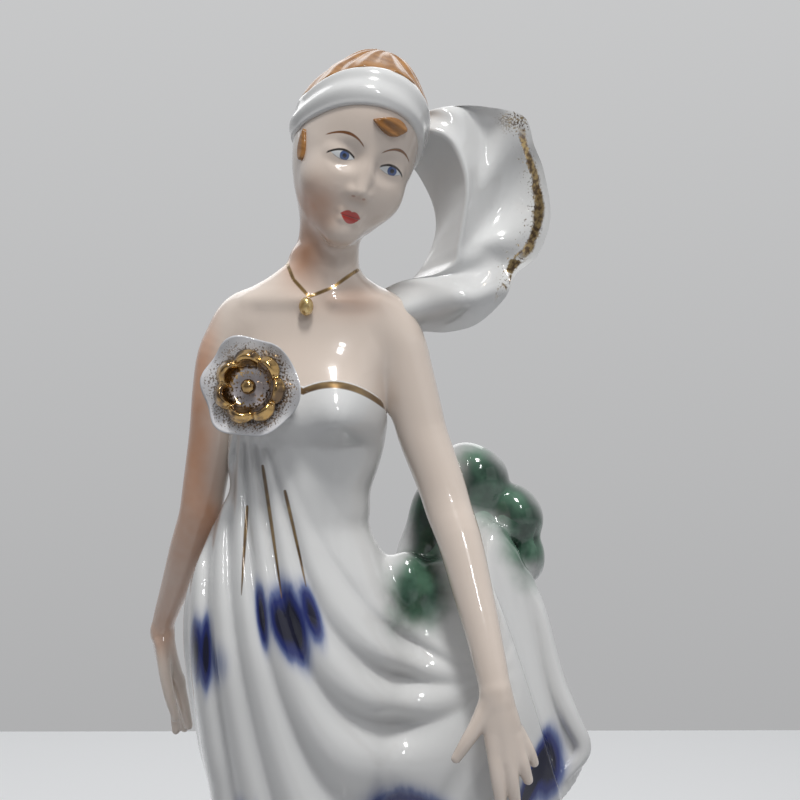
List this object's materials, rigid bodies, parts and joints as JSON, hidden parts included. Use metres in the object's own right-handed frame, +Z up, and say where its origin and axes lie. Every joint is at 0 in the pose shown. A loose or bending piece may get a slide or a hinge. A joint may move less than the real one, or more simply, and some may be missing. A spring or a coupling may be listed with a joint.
{
  "type": "porcelain lady figurine",
  "caption": "Standing glazed porcelain lady in a draped gown with a wind-blown scarf and a gilt flower, holding her train over a green rock on a round plinth.",
  "frame": {"origin": "centre of the plinth's foot on the table", "axes": "+Z up, the lady faces -Y, +X towards her left hand and the rock"},
  "size_m": [0.1154, 0.108, 0.2996],
  "materials": {
    "white_glaze": "clear gloss glaze over white porcelain",
    "dress_glaze": "clear gloss glaze with cobalt spots and gilt lines",
    "flesh_glaze": "gloss glaze over sprayed flesh tint",
    "hair_glaze": "caramel underglaze brown, gloss",
    "green_glaze": "sprayed green underglaze, gloss",
    "gilt": "fired bright gold over glaze"
  },
  "bodies": {
    "root": {"plinth": "white_glaze", "skirt": "dress_glaze", "torso": "flesh_glaze", "head": "flesh_glaze", "headband": "white_glaze", "hair": "hair_glaze", "forelock": "hair_glaze", "temple_curl": "hair_glaze", "scarf": "white_glaze", "right_arm": "flesh_glaze", "left_arm": "flesh_glaze", "train": "dress_glaze", "rock": "green_glaze", "flower_frill": "white_glaze", "flower_cup": "gilt", "flower_bead": "gilt", "pendant": "gilt"}
  },
  "joints": []
}
